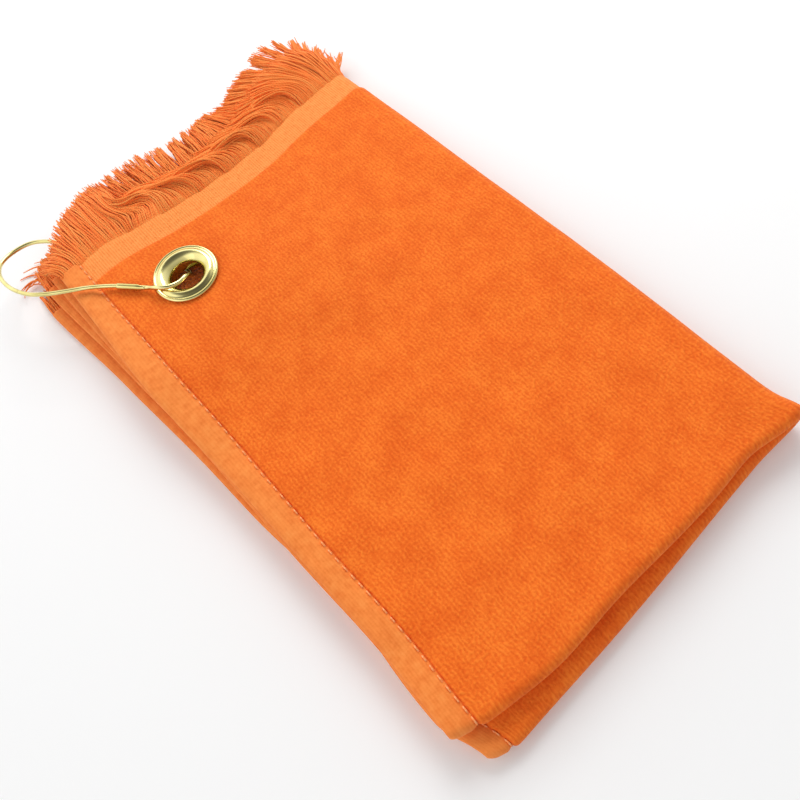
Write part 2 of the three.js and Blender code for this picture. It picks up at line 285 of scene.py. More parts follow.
def stations(*stretches):
    # runs of evenly spaced values joined end to end: each stretch is (start, end, steps)
    runs = [np.linspace(start, end, steps, endpoint=False) for start, end, steps in stretches]
    return np.concatenate([*runs, [stretches[-1][1]]])


# Cloth: one sheet, folded across and then along, with velour outside and terry loops inside
clothLook = {
    "edge": 8.2,               # across, where the pile meets the hem's stitching
    "end": 196.9,              # along, where the pile stops at the woven band
    "halfThickness": 1.4,
    "sideRound": 2.2, "endRound": 1.8,
    "eyeletHole": 7.3,         # radius
}


def edgeRound(distance, radius):
    # the share of full thickness at a distance in from a rounded edge: a quarter circle
    inward = np.clip(distance / radius, 0, 1)
    return np.maximum(np.sqrt(1 - (1 - inward) ** 2), 0.12)


def mirrored(values):
    # the same values on both sides of their zero
    return np.concatenate([-values[:0:-1], values])


def makeCloth():
    # a flat grid, across both halves and along from one end to the other, with a velour and a terry
    # side that thin to rounded edges, folded by clothPoint
    half = clothLook["halfThickness"]
    reach = width - clothLook["edge"]
    flatEnd = clothLook["end"] + lipHalfArc
    spineTurn, fine, pastLip = 7, 2.4, lipHalfArc + 12     # where the grid's spacing changes
    u = mirrored(stations((0, spineTurn, 11), (spineTurn, reach - fine, 68), (reach - fine, reach, 5)))
    lip = [(0, lipHalfArc, 6), (lipHalfArc, pastLip, 9)]
    s = mirrored(stations(*lip, (pastLip, flatEnd - fine, 104), (flatEnd - fine, flatEnd, 5)))
    grid, run = np.meshgrid(u, s)
    sides = edgeRound(reach - np.abs(grid), clothLook["sideRound"])
    ends = edgeRound(flatEnd - np.abs(run), clothLook["endRound"])
    thickness = half * sides * ends
    side = np.where(grid >= 0, 1, -1)
    across = width - np.abs(grid)
    velour = clothPoint(side, across, run, thickness)
    terry = clothPoint(side, across, run, -thickness)
    rings = np.concatenate([velour, terry[:, ::-1]], axis=1)
    face = np.stack([grid, run, np.ones_like(run)], -1)
    back = np.stack([grid, run, -np.ones_like(run)], -1)
    flat = np.concatenate([face, back[:, ::-1]], axis=1)
    stationCount, around = rings.shape[:2]
    quads = skinQuads((1, stationCount, around))
    points, flat = rings.reshape(-1, 3), flat.reshape(-1, 3)
    points, quads = cutEyeletHole(points, quads, flat, around)
    used, quads = np.unique(quads, return_inverse=True)
    quads = quads.reshape(-1, 4)
    piece = meshFrom("towel_cloth", points[used], quads, flat[used])
    isTerry = flat[used][quads, 2].mean(1) < 0
    piece.data.polygons.foreach_set("material_index", isTerry.astype(np.int32))
    return piece


def cutEyeletHole(points, quads, flat, around):
    # takes out the quads inside the hole from both faces of the top layer, joins the two rims with a
    # wall, and draws the rims onto the circle
    centre = np.array([towel["eyeletAcross"], towel["eyeletAlong"]])
    radius = clothLook["eyeletHole"]
    middle = points[quads].mean(1)
    onTop = (flat[quads, 0].mean(1) > 0) & (flat[quads, 1].mean(1) > 0)
    inHole = onTop & (np.hypot(*(middle[:, :2] - centre).T) < radius)
    removed = quads[inHole]
    onVelour = flat[removed, 2].mean(1) > 0
    edges = np.stack([removed[onVelour], np.roll(removed[onVelour], -1, axis=1)], -1).reshape(-1, 2)
    key = np.sort(edges, axis=1)
    _, where, count = np.unique(key, axis=0, return_inverse=True, return_counts=True)
    rim = edges[count[where.ravel()] == 1]
    mirror = (rim // around) * around + around - 1 - rim % around
    wall = np.stack([rim[:, 0], rim[:, 1], mirror[:, 1], mirror[:, 0]], -1)
    rimPoints = np.unique(np.concatenate([rim.ravel(), mirror.ravel()]))
    offset = points[rimPoints, :2] - centre
    points[rimPoints, :2] = centre + offset / np.linalg.norm(offset, axis=1, keepdims=True) * radius
    return points, np.concatenate([quads[~inHole], wall])


cloth = makeCloth()
print("cloth:", len(cloth.data.polygons), "faces")


# Woven bands beside the fringes: thin strips that cross the spine
bandLook = {
    "halfThickness": 0.75, "under": 2.5, "edge": 7.6,
    "thinning": 0.45, "thinningLength": 5,    # towards the yarns
    "sag": -0.1, "unevenness": 0.12,
}


def makeBand(name, layer):
    # a strip of the cloth's own grid, thinned towards the yarns and a little uneven, folded by
    # clothPoint; layer is +1 for the outer layer and -1 for the inner
    half = bandLook["halfThickness"]
    reach = width - bandLook["edge"]
    first, last = clothLook["end"] - bandLook["under"] + lipHalfArc, length + lipHalfArc
    u = mirrored(stations((0, 7, 11), (7, reach, 120)))
    s = stations((first, last - 1, 14), (last - 1, last, 4))
    grid, run = np.meshgrid(u, s)
    thinned = 1 - slope(run, bandLook["thinning"], last - bandLook["thinningLength"], last)
    thickness = half * edgeRound(last - run, half) * thinned
    side = np.where(grid >= 0, 1, -1)
    sag = bandLook["sag"] + bandLook["unevenness"] * ripple(grid, run, 22, 31)
    face = clothPoint(side, width - np.abs(grid), layer * run, thickness + sag)
    back = clothPoint(side, width - np.abs(grid), layer * run, -thickness + sag)
    rings = np.concatenate([face, back[:, ::-1]], axis=1)
    flat = np.stack([grid, run, np.zeros_like(run)], -1)
    flat = np.concatenate([flat, flat[:, ::-1]], axis=1)
    return meshFrom(name, rings.reshape(-1, 3), skinQuads((1, *rings.shape[:2])), flat.reshape(-1, 3))


outerBand = makeBand("outer_band", 1)
innerBand = makeBand("inner_band", -1)
print("bands made")


# Hems: the long edges turned in and stitched down, a soft flattened roll round the near fold
hemLook = {
    "inner": 8.6,              # across, its edge under the stitching
    "halfThickness": 1.38,
    "squareness": 0.84,        # 1 is an ellipse, 0 a box
    "stitchPitch": 3.4,
    "floorGap": 0.02,
}


def makeHem(name, side):
    # a squarish ring, cos and sin to a power, carried along the folded hem: fuller at its free edge,
    # drawn in along the stitching and a little more at each stitch, and closed at both ends
    end = length + lipHalfArc
    s = mirrored(stations((0, lipHalfArc, 8), (lipHalfArc, end - 1.6, 170), (end - 1.6, end, 5)))
    angle = 2 * math.pi * (np.arange(36) + 0.5) / 36
    around, run = np.meshgrid(angle, s)
    power = hemLook["squareness"]
    roll = np.sign(np.cos(around)) * np.abs(np.cos(around)) ** power
    height = np.sign(np.sin(around)) * np.abs(np.sin(around)) ** power
    middle = hemLook["inner"] / 2
    across = middle + middle * roll
    close = edgeRound(end - np.abs(run), 1.4)
    pull = 0.5 + 0.5 * np.cos(2 * math.pi * run / hemLook["stitchPitch"])
    nearStitch = smoothStep(across, 5.6, 8.4)
    belly = 0.85 + bell(across, 0.12, 5.2, 2.6) + bell(across, 0.22, 1.8, 1.7)
    belly = belly - 0.3 * nearStitch - 0.03 * nearStitch * pull
    belly = belly + 0.05 * ripple(across, run, 14, 41 + side)
    rings = clothPoint(side, across, run, hemLook["halfThickness"] * belly * height * close)
    rings[..., 2] = np.maximum(rings[..., 2], hemLook["floorGap"])      # the lowest roll lies on the floor
    flat = np.stack([across + 3 * np.sign(height), run, np.ones_like(run)], -1)
    return meshFrom(name, rings.reshape(-1, 3), skinQuads((1, *rings.shape[:2])), flat.reshape(-1, 3))


upperHem = makeHem("upper_hem_roll", 1)
lowerHem = makeHem("lower_hem_roll", -1)
print("hems made")


# Stitching: short plump stitches in the furrow between the hem and the pile
stitchLook = {
    "across": 7.9, "height": 0.88, "radius": 0.25,
    "share": 0.72,             # of the pitch that a stitch fills
    "dip": 0.55,               # how deep its ends go
}


def makeStitching(name, side):
    # a row of short tubes along the hem, each dipping into the cloth at both ends with the fourth
    # power of its place, and thinner there
    pitch = hemLook["stitchPitch"]
    end = length + lipHalfArc - 2
    starts = np.arange(-end, end, pitch)
    share = np.linspace(0, 1, 6)
    run = starts[:, None] + pitch * stitchLook["share"] * share
    dip = stitchLook["dip"] * (2 * share - 1) ** 4
    across = stitchLook["across"] + 0.12 * np.sin(starts * 1.7)[:, None] + 0 * run
    paths = clothPoint(side, across, run, stitchLook["height"] - dip)
    radii = stitchLook["radius"] * (1 - 0.35 * (2 * share - 1) ** 6) + 0 * run
    rings = tubes(paths, radii, 6)
    flat = np.broadcast_to(np.stack([0 * run, run, 0 * run], -1)[:, :, None], rings.shape)
    return meshFrom(name, rings.reshape(-1, 3), skinQuads(rings.shape[:3]), flat.reshape(-1, 3))


upperStitching = makeStitching("upper_hem_stitching", 1)
lowerStitching = makeStitching("lower_hem_stitching", -1)
print("stitching made")


# Fringes: loose warp yarns. The top one is combed over in locks that lie on each other like shingles,
# and the others run out straighter in small pointed groups.
fringeLook = {
    "stations": 15,
    "rooted": 3.4,                            # how far back into the band a yarn shows as a rib
    "sunk": 0.62, "sunkShare": 0.13,          # how deep it starts there, and the share of it that is deep
    "lock": 14.5, "ridge": 3.0,               # width and height of the combed locks
}
combed = {
    "spacing": 0.8, "levels": 6, "radius": 0.335,
    # by place across: degrees from straight towards the hems, length, and share of the ridge's height
    "at": [0, 6, 12, 26, 34, 42, 50, 62, 85, 108, 120, 130, 140],
    "heading": [34, 22, 6, 4, 14, 36, 62, 72, 74, 66, 44, 12, -32],
    "size": [13, 18, 27, 34, 34, 34, 32, 31, 31, 33, 35, 34, 20],
    "rise": [0.5, 0.4, 0.25, 0.3, 0.6, 0.8, 1, 1, 1, 1, 0.9, 0.5, 0.3],
    "whorl": (37.0, 221.0), "whorlTurn": 1.0, "whorlSpread": 7.5,         # a twist in the locks
}
straight = {
    "spacing": 0.82, "levels": 5, "radius": 0.29,
    "at": [0, 6, 12, 20, 28, 36, 46, 56, 66, 76, 86, 96, 106, 116, 126, 132, 136, 140],
    "heading": [0, 6, 13, 17, 16, 11, 6, 1, -3, -2, 10, 26, 37, 38, 28, 6, -16, -44],
    "size": [14, 17, 21, 25, 32, 38, 36, 35, 31, 31, 33, 34, 34, 37, 40, 42, 32, 19],
    "group": 2.1,                             # mean width of the groups at the cut ends
}


def yarnMesh(name, paths, radii, sides, draw):
    # round tubes along the paths; the pattern place is (turn round the yarn, length gone, own tone)
    rings = tubes(paths, radii, sides)
    step = np.linalg.norm(np.diff(paths, axis=1), axis=2)
    gone = np.concatenate([np.zeros((len(paths), 1)), np.cumsum(step, axis=1)], axis=1)
    around = np.arange(sides) / sides
    tone = draw.random(len(paths))
    flat = np.empty(rings.shape)
    flat[..., 0] = around
    flat[..., 1] = gone[:, :, None]
    flat[..., 2] = tone[:, None, None]
    return meshFrom(name, rings.reshape(-1, 3), skinQuads(rings.shape[:3]), flat.reshape(-1, 3))


def yarnRoots(look, draw):
    # rows of yarns side by side in a few levels; level runs from -0.5 at the back to 0.5 at the face
    rows = np.arange(0.7, width - 0.3, look["spacing"])
    levels = look["levels"]
    root = np.repeat(rows, levels) + draw.uniform(-0.22, 0.22, len(rows) * levels)
    root = root + np.tile(np.arange(levels) % 2, len(rows)) * look["spacing"] / 2
    level = np.tile(np.arange(levels), len(rows)) / (levels - 1) - 0.5
    return root, level


def walkYarns(root, angle, size):
    # carries each yarn on from its root by equal steps, each in its own direction
    step = size / (fringeLook["stations"] - 1)
    start = np.zeros((len(root), 1))
    across = root[:, None] - np.concatenate([start, np.cumsum(np.sin(angle) * step, axis=1)[:, :-1]], axis=1)
    along = np.concatenate([start, np.cumsum(np.cos(angle) * step, axis=1)[:, :-1]], axis=1)
    return across, length - fringeLook["rooted"] + along


def sunkIn(s):
    # how far a yarn still lies down in the band, at a share s of its length
    return fringeLook["sunk"] * (1 - smoothStep(s, 0, fringeLook["sunkShare"]))


def combedYarns(draw):
    # the top layer's fringe: each yarn leaves the band straight, turns towards the hem by its place's
    # heading and rides up over the next lock, highest along the lock's own edge
    root, level = yarnRoots(combed, draw)
    edges = np.concatenate([[-1.0], np.cumsum(draw.uniform(0.75, 1.25, 16)) * fringeLook["lock"]])
    lock = np.searchsorted(edges, root)
    q = (edges[lock] - root) / (edges[lock] - edges[lock - 1])
    share = np.interp(root, combed["at"], combed["rise"])
    strength = draw.uniform(0.75, 1.2, 20)[lock] * share
    heading = np.interp(root, combed["at"], combed["heading"])
    heading = heading * (0.8 + 0.3 * q) + draw.normal(0, 2.4, len(root))
    size = (np.interp(root, combed["at"], combed["size"]) + draw.normal(0, 1.2, len(root)))[:, None]
    s = np.linspace(0, 1, fringeLook["stations"])[None]
    bend = smoothStep(s, 0.04, 0.46)
    wobble = 3 * np.sin(2 * math.pi * (s * 1.3 + draw.random((len(root), 1))))
    across, along = walkYarns(root, np.radians(heading[:, None] * bend + wobble), size)
    arch = np.sin(math.pi * s**0.8) ** 1.3    # up and down along the yarn, steeper at its root
    ridge = fringeLook["ridge"] * (strength * (0.1 + q**2.2) * (0.6 + 0.8 * level))[:, None] * arch
    loose = smoothStep(s, 0.06, 0.3)
    spread = 0.35 * (1 - loose) + 1.4 * loose
    loft = (0.25 + 0.65 * share[:, None]) * np.sin(math.pi * s) + spread * level[:, None]
    depth = outerMiddle + 0.3 - 0.5 * loose + ridge + loft - sunkIn(s)
    depth = np.maximum(depth - 1.2 * smoothStep(s, 0.7, 1), 3.7)
    # the whorl turns the yarns near its centre about it, and presses them down
    aside, ahead = across - combed["whorl"][0], along - combed["whorl"][1]
    near = np.exp(-(aside**2 + ahead**2) / combed["whorlSpread"] ** 2)
    turn = combed["whorlTurn"] * near
    across = combed["whorl"][0] + aside * np.cos(turn) - ahead * np.sin(turn)
    along = combed["whorl"][1] + aside * np.sin(turn) + ahead * np.cos(turn)
    return across, along, depth - 1.1 * near, s


def straightYarns(layer, draw):
    # the fringes under it: yarns side by side, drawn together a little at their cut ends
    root, level = yarnRoots(straight, draw)
    edges = np.concatenate([[0.0], np.cumsum(draw.uniform(0.5, 1.5, 120)) * straight["group"]])
    group = np.searchsorted(edges, root)
    centre = (edges[group] + edges[group - 1]) / 2
    heading = np.interp(centre, straight["at"], straight["heading"]) + draw.normal(0, 2.5, 130)[group]
    heading = heading + draw.normal(0, 1.6, len(root))
    size = np.interp(centre, straight["at"], straight["size"]) + draw.normal(0, 0.6, 130)[group]
    size = (size + draw.normal(0, 0.5, len(root)) + 0.8 * ripple(root, 0 * root, 30, 71 + layer))[:, None]
    s = np.linspace(0, 1, fringeLook["stations"])[None]
    wobble = 4 * np.sin(2 * math.pi * (s * 1.1 + draw.random((len(root), 1))))
    across, along = walkYarns(root, np.radians(heading[:, None] * smoothStep(s, 0, 0.6) + wobble), size)
    across = across + (centre - root)[:, None] * 0.45 * smoothStep(s, 0.4, 1)
    middle = outerMiddle if layer > 0 else innerMiddle
    loose = smoothStep(s, 0.06, 0.3)
    spread = 0.35 * (1 - loose) + 1.2 * loose
    depth = middle + spread * level[:, None] - 0.4 * sunkIn(s)
    depth = depth + loose * 0.3 * np.sin(2 * math.pi * (s + draw.random((len(root), 1))))
    return across, along, depth, s


def curledYarns(draw):
    # yarns that have worked loose at the hem's end: each runs out and then curls towards the hems
    count = 16
    s = np.linspace(0, 1, fringeLook["stations"])[None]
    heading = draw.uniform(-24, 8, (count, 1)) + draw.uniform(30, 160, (count, 1)) * smoothStep(s, 0.4, 1)
    size = draw.uniform(17, 29, (count, 1))
    across, along = walkYarns(draw.uniform(0.5, 7, count), np.radians(heading), size)
    depth = draw.uniform(2.4, 5.2, (count, 1)) + 0.8 * np.sin(2 * math.pi * (s + draw.random((count, 1))))
    return across, along, depth, s


def makeFringe(name, side, layer, seed):
    # the yarns of one layer, folded into place with it. Their tips droop and thin, and those that pass
    # the spine run straight on
    draw = np.random.default_rng(seed)
    onTop = side > 0 and layer > 0
    across, along, depth, s = combedYarns(draw) if onTop else straightYarns(layer, draw)
    if side < 0 and layer < 0:
        curls = curledYarns(draw)
        across, along, depth = (np.concatenate(pair) for pair in zip((across, along, depth), curls))
    paths = foldPlace(side, np.minimum(across, width), along, depth, layer > 0)
    paths[..., 0] += np.maximum(across - width, 0)
    radius = (combed if onTop else straight)["radius"]
    droop = 1.6 * smoothStep(s, 0.55, 1) * (1 if side > 0 and layer < 0 else 0.3)
    paths[..., 2] = np.maximum(paths[..., 2] - droop, radius + 0.1)
    radii = radius * (0.75 + 0.25 * smoothStep(s, 0, 0.15)) * (1 - 0.45 * smoothStep(s, 0.8, 1))
    return yarnMesh(name, paths, radii * draw.uniform(0.85, 1.12, (len(paths), 1)), 5, draw)


fringes = {
    "upper_outer": makeFringe("upper_outer_yarns", 1, 1, 101),
    "upper_inner": makeFringe("upper_inner_yarns", 1, -1, 102),
    "lower_inner": makeFringe("lower_inner_yarns", -1, -1, 103),
    "lower_outer": makeFringe("lower_outer_yarns", -1, 1, 104),
}
print("fringes:", sum(len(piece.data.polygons) for piece in fringes.values()), "faces")


# Grommet: a rolled brass eyelet, turned from its section
eyeletLook = {"flangeRadius": 12.25, "flangeHeight": 1.7, "barrelRadius": 6.0, "sheetMetal": 0.5}
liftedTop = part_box("grommet_eyelet")[1][2] / mm - eyeletLook["flangeHeight"]


def softenProfile(profile, rounds):
    # cuts each corner of a closed outline at a quarter and three quarters of its sides, and again
    for _ in range(rounds):
        following = np.roll(profile, -1, axis=0)
        cuts = [0.75 * profile + 0.25 * following, 0.25 * profile + 0.75 * following]
        profile = np.stack(cuts, 1).reshape(-1, 2)
    return profile


def makeEyelet():
    # a closed section of radius and height, from the barrel up over the flange and back beneath the
    # cloth, turned round the eyelet's axis
    barrel, flange, top = (eyeletLook[k] for k in ("barrelRadius", "flangeRadius", "flangeHeight"))
    metal = eyeletLook["sheetMetal"]
    neck, valley, crest = barrel + metal, flange - 1.3, barrel + 2.9
    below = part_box("grommet_eyelet")[0][2] / mm - liftedTop
    profile = np.array([
        [barrel + 0.25, below], [barrel, below + metal], [barrel, -1.9], [barrel + 0.05, -0.9],
        [barrel + 0.5, -0.1], [barrel + 1.5, top - 0.75], [crest, top + 0.05], [crest + 1.0, top - 0.2],
        [valley, top - 0.9], [valley + 0.6, top - 0.6], [flange - 0.15, 0.75], [flange + 0.05, 0.3],
        [flange - 0.25, 0.0], [neck + 0.6, 0.0], [neck, -0.5], [neck, -2.2],
        [neck, below + metal], [neck + 1.4, below + metal], [neck + 1.4, below],
    ])
    profile = softenProfile(profile, 2)
    angle = 2 * math.pi * np.arange(144) / 144
    r, h = profile[:, 0], profile[:, 1] + liftedTop
    x = towel["eyeletAcross"] + np.cos(angle)[:, None] * r
    y = towel["eyeletAlong"] + np.sin(angle)[:, None] * r
    rings = np.stack([x, y, np.broadcast_to(h, x.shape)], -1)
    return meshFrom("eyelet_rim", rings.reshape(-1, 3), skinQuads((1, *rings.shape[:2]), True))


eyelet = makeEyelet()
print("eyelet made")


# Hook: one spring wire bent to a teardrop ring, and the sleeve that catches its tip
hookLook = {
    "wireRadius": 0.8,
    "direction": 131.0,        # degrees from the across axis
    "gateLength": 35.0,
    "bendBefore": 9.0,         # how far before the gate's root its bending starts
    "sleeveStart": 13.0, "sleeveLength": 11.0, "gateLine": 7.5, "tipGap": 0.8,
}
gateLevel = (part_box("hook_gate")[1][2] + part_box("hook_gate")[0][2]) / 2 / mm
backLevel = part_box("hook_wire")[0][2] / mm + hookLook["wireRadius"]
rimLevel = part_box("hook_wire")[1][2] / mm - hookLook["wireRadius"]


def hookRoute():
    # the wire's points, listed one by one, x along the hook from the eyelet's axis and y across it. It rises
    # from under the cloth to the gate's level round its far end
    nose = rimLevel - eyeletLook["flangeHeight"]
    throat = (nose + backLevel) / 2
    line, halfGap = hookLook["gateLine"], hookLook["tipGap"] / 2
    start, middle = hookLook["sleeveStart"], hookLook["sleeveStart"] + hookLook["sleeveLength"] / 2
    end = start + hookLook["sleeveLength"]
    bow = backLevel + (gateLevel - backLevel) * np.array([0.14, 0.36, 0.6, 0.82, 0.95])
    return np.array([
        [middle - halfGap, line, gateLevel], [start + 1, line, gateLevel],
        [start - 1, line, gateLevel + 0.05], [7.4, 8.4, rimLevel], [3.4, 7.9, rimLevel],
        [0.2, 5, rimLevel - 0.9], [-1, 1.9, nose], [-0.7, -1.1, throat], [0.9, -3.2, backLevel + 0.9],
        [3.4, -5.4, backLevel], [7.5, -7.2, backLevel], [20, -9.3, backLevel], [45, -13, backLevel],
        [65, -16.2, backLevel], [74, -14.8, backLevel], [79, -9, bow[0]], [79.8, -3.2, bow[1]],
        [77.4, 2, bow[2]], [72.5, 7, bow[3]], [65.8, 11, bow[4]], [58.5, 12.9, gateLevel],
        [52.2, 12.6, gateLevel], [44.5, 11, gateLevel], [36, 8.9, gateLevel], [29.5, 7.9, gateLevel],
        [end + 1, line, gateLevel], [end - 1, line, gateLevel], [middle + halfGap, line, gateLevel],
    ])


def throughPoints(points, steps):
    # a centripetal Catmull-Rom curve: between two points a cubic whose tangents come from the
    # neighbours, with knots spaced by the square root of the distance
    ends = np.concatenate([[2 * points[0] - points[1]], points, [2 * points[-1] - points[-2]]])
    knot = np.linalg.norm(np.diff(ends, axis=0), axis=1)[:, None] ** 0.5
    p0, p1, p2, p3 = ends[:-3], ends[1:-2], ends[2:-1], ends[3:]
    d0, d1, d2 = knot[:-2], knot[1:-1], knot[2:]
    t1 = ((p1 - p0) / d0 - (p2 - p0) / (d0 + d1) + (p2 - p1) / d1) * d1
    t2 = ((p2 - p1) / d1 - (p3 - p1) / (d1 + d2) + (p3 - p2) / d2) * d1
    t = np.linspace(0, 1, steps, endpoint=False)[None, :, None]
    a, b, m, n = (v[:, None] for v in (p1, p2, t1, t2))
    curve = a + m * t + (3 * b - 3 * a - 2 * m - n) * t**2 + (2 * a - 2 * b + m + n) * t**3
    return np.concatenate([curve.reshape(-1, 3), points[-1:]])


def toHook(points):
    # from the hook's own axes to the towel's
    turn = math.radians(hookLook["direction"])
    x, y, z = np.moveaxis(points, -1, 0)
    across = towel["eyeletAcross"] + x * math.cos(turn) - y * math.sin(turn)
    along = towel["eyeletAlong"] + x * math.sin(turn) + y * math.cos(turn)
    return np.stack([across, along, z], -1)


def evenRoute(route, spacing):
    # the same route at even steps, by length gone
    gone = np.concatenate([[0], np.cumsum(np.linalg.norm(np.diff(route, axis=0), axis=1))])
    at = np.linspace(0, gone[-1], int(gone[-1] / spacing))
    return np.stack([np.interp(at, gone, route[:, axis]) for axis in range(3)], -1), at


def makeWire(name, route):
    # a round tube whose ring is carried along without twisting
    tangent = np.gradient(route, axis=0)
    tangent /= np.linalg.norm(tangent, axis=1, keepdims=True)
    sideways = np.cross(tangent[0], [0, 0, 1.0])
    carried = []
    for heading in tangent:
        sideways = sideways - heading * (sideways @ heading)
        sideways = sideways / np.linalg.norm(sideways)
        carried.append(sideways)
    sideways = np.array(carried)
    upwards = np.cross(sideways, tangent)
    angle = 2 * math.pi * np.arange(16) / 16
    ring = np.cos(angle)[:, None] * sideways[:, None] + np.sin(angle)[:, None] * upwards[:, None]
    radius = np.full(len(route), hookLook["wireRadius"])
    radius[[0, -1]] *= 0.72                  # the cut ends are broken
    rings = route[:, None] + radius[:, None, None] * ring
    return meshFrom(name, rings.reshape(-1, 3), skinQuads((1, *rings.shape[:2])))


route, gone = evenRoute(throughPoints(hookRoute(), 90), 0.42)
gateRoot = gone[-1] - hookLook["gateLength"]
bendStart = int(np.searchsorted(gone, gateRoot - hookLook["bendBefore"]))
ringWire = makeWire("hook_ring_wire", toHook(route[: bendStart + 1]))
gateWire = makeWire("hook_gate_wire", toHook(route[bendStart - 2 :]))


def makeSleeve():
    # a rolled strip open towards the inside of the ring: its section is an arc with two lips, which
    # closes in on the wire at the eyelet's end
    full = hookLook["sleeveLength"]
    x = stations((0, 0.35, 2), (0.35, 3.4, 8), (3.4, full - 0.3, 10), (full - 0.3, full, 2))
    nearEnd = 1 - smoothStep(x, 0.2, 3.6)
    edge = 0.86 + 0.14 * np.minimum(edgeRound(x, 0.3), edgeRound(x[-1] - x, 0.3))
    outside = (1.22 - 0.26 * nearEnd) * edge
    inside = 0.84 + 0 * x
    opening = 118 - 34 * nearEnd              # half the wrapped angle
    turn = np.linspace(-1, 1, 22)
    angle = np.radians(opening)[:, None] * turn
    arc = np.stack([np.cos(angle), np.sin(angle)], -1)
    bore = np.minimum(inside, outside - 0.08)
    section = np.concatenate([arc * outside[:, None, None], arc[:, ::-1] * bore[:, None, None]], axis=1)
    rings = np.empty((*section.shape[:2], 3))
    rings[..., 0] = hookLook["sleeveStart"] + x[:, None]
    rings[..., 1] = hookLook["gateLine"] + section[..., 0]
    rings[..., 2] = gateLevel + section[..., 1]
    return meshFrom("hook_catch_sleeve", toHook(rings).reshape(-1, 3), skinQuads((1, *rings.shape[:2])))


sleeve = makeSleeve()
print("hook made: wire", round(gone[-1], 1), "mm long")


# Materials
def addNode(tree, kind, inputs=(), stops=(), **settings):
    # a node with its settings, its colour stops, and its inputs as numbers, colours, other nodes'
    # outputs, or nodes whose first output is meant
    made = tree.nodes.new("ShaderNode" + kind)
    for name, value in settings.items():
        setattr(made, name, value)
    for at, (position, code) in enumerate(stops):
        element = made.color_ramp.elements[at] if at < 2 else made.color_ramp.elements.new(position)
        element.position = position
        element.color = linear(code)
    for name, value in dict(inputs).items():
        if isinstance(value, bpy.types.Node):
            value = value.outputs[0]
        if isinstance(value, bpy.types.NodeSocket):
            tree.links.new(value, made.inputs[name])
        else:
            made.inputs[name].default_value = value
    return made


def startMaterial(name, **surface):
    # a material with the plain values of its shader
    material = bpy.data.materials.new(name)
    material.use_nodes = True
    tree = material.node_tree
    shader = tree.nodes["Principled BSDF"]
    for key, value in surface.items():
        shader.inputs[key.replace("_", " ")].default_value = value
    return material, tree, shader


def giveSurface(tree, shader, colour, height, strength, depth):
    # joins the pattern's colour and its relief, depth mm high, to the shader
    relief = addNode(tree, "Bump", {"Height": height, "Strength": strength, "Distance": depth * mm})
    tree.links.new(colour.outputs[0], shader.inputs["Base Color"])
    tree.links.new(relief.outputs[0], shader.inputs["Normal"])


waveUnit = 0.314               # a wave texture's period at scale 1
velourLook = {
    "light": "#ff832c", "body": "#f36f21", "deep": "#e65e18", "glow": "#ffb070",
    "rowPitch": 1.35,          # mm between pile rows
    "fibre": 0.8,              # mm, the pile's grain, coarser than real so that it shows
    "brush": 11.0,             # mm, size of the brushed patches
    # paintedRowShadeShare is how much painted shade between the pile rows goes into the colour
    "paintedRowShadeShare": 0.26, "fibreShare": 0.62, "brushShare": 0.55,
}


def velourMaterial():
    # cotton velour: a sheared loop pile. It is matt and mottled where the pile leans different ways,
    # shows faint rows along the towel as painted shade between them, and glows at grazing angles
    material, tree, shader = startMaterial(
        "cotton_velour", Roughness=0.9, Specular_IOR_Level=0.15, Sheen_Weight=0.55, Sheen_Roughness=0.42,
        Sheen_Tint=linear(velourLook["glow"]),
    )
    place = addNode(tree, "Attribute", attribute_name="flatPlace").outputs["Vector"]
    warp = addNode(tree, "TexNoise", {"Vector": place, "Scale": 0.35, "Detail": 2.0}).outputs["Color"]
    shaken = addNode(tree, "VectorMath", {0: warp, 1: (2.2, 2.2, 0)}, operation="MULTIPLY")
    bent = addNode(tree, "VectorMath", {0: place, 1: shaken}, operation="ADD")
    rowScale = waveUnit / velourLook["rowPitch"]
    rows = addNode(tree, "TexWave", {"Vector": bent, "Scale": rowScale}, bands_direction="X").outputs["Fac"]
    stretch = addNode(tree, "Mapping", {"Vector": place, "Scale": (1.0, 0.38, 1.0)})
    tuft = addNode(tree, "TexNoise", {"Vector": stretch, "Scale": 1.0, "Detail": 3.0, "Roughness": 0.7})
    fibre = addNode(tree, "TexNoise", {"Vector": place, "Scale": 1 / velourLook["fibre"], "Detail": 3.0})
    patchNoise = {"Vector": place, "Scale": 1 / velourLook["brush"], "Detail": 4.0, "Roughness": 0.68}
    brush = addNode(tree, "TexNoise", patchNoise)
    paintedRowShadeShare, fibreShare, brushShare = (velourLook[k] for k in ("paintedRowShadeShare", "fibreShare", "brushShare"))
    # the rows, broken into tufts, set the relief and also darken the colour between them: painted shade
    broken = addNode(tree, "Math", {0: rows, 1: tuft}, operation="MULTIPLY")
    patch = addNode(tree, "Math", {0: brush, 1: brushShare}, operation="MULTIPLY")
    ribbed = addNode(tree, "Math", {0: broken, 1: paintedRowShadeShare, 2: patch}, operation="MULTIPLY_ADD")
    # the fibre's grain, the painted shade between rows and the brushed patches, added up
    grainAndPaintedRowShade = addNode(tree, "Math", {0: fibre, 1: fibreShare, 2: ribbed}, operation="MULTIPLY_ADD")
    tones = [(0.45, velourLook["deep"]), (0.64, velourLook["body"]), (0.83, velourLook["light"])]
    colour = addNode(tree, "ValToRGB", {"Fac": grainAndPaintedRowShade}, tones)
    high = addNode(tree, "Math", {0: broken, 1: 0.4, 2: fibre}, operation="MULTIPLY_ADD")
    giveSurface(tree, shader, colour, high, 0.5, 0.55)
    return material


terryLook = {"light": "#ff8f48", "deep": "#d85c20", "loop": 1.25}      # loop is the mm between loops; deep is painted shade in the pits
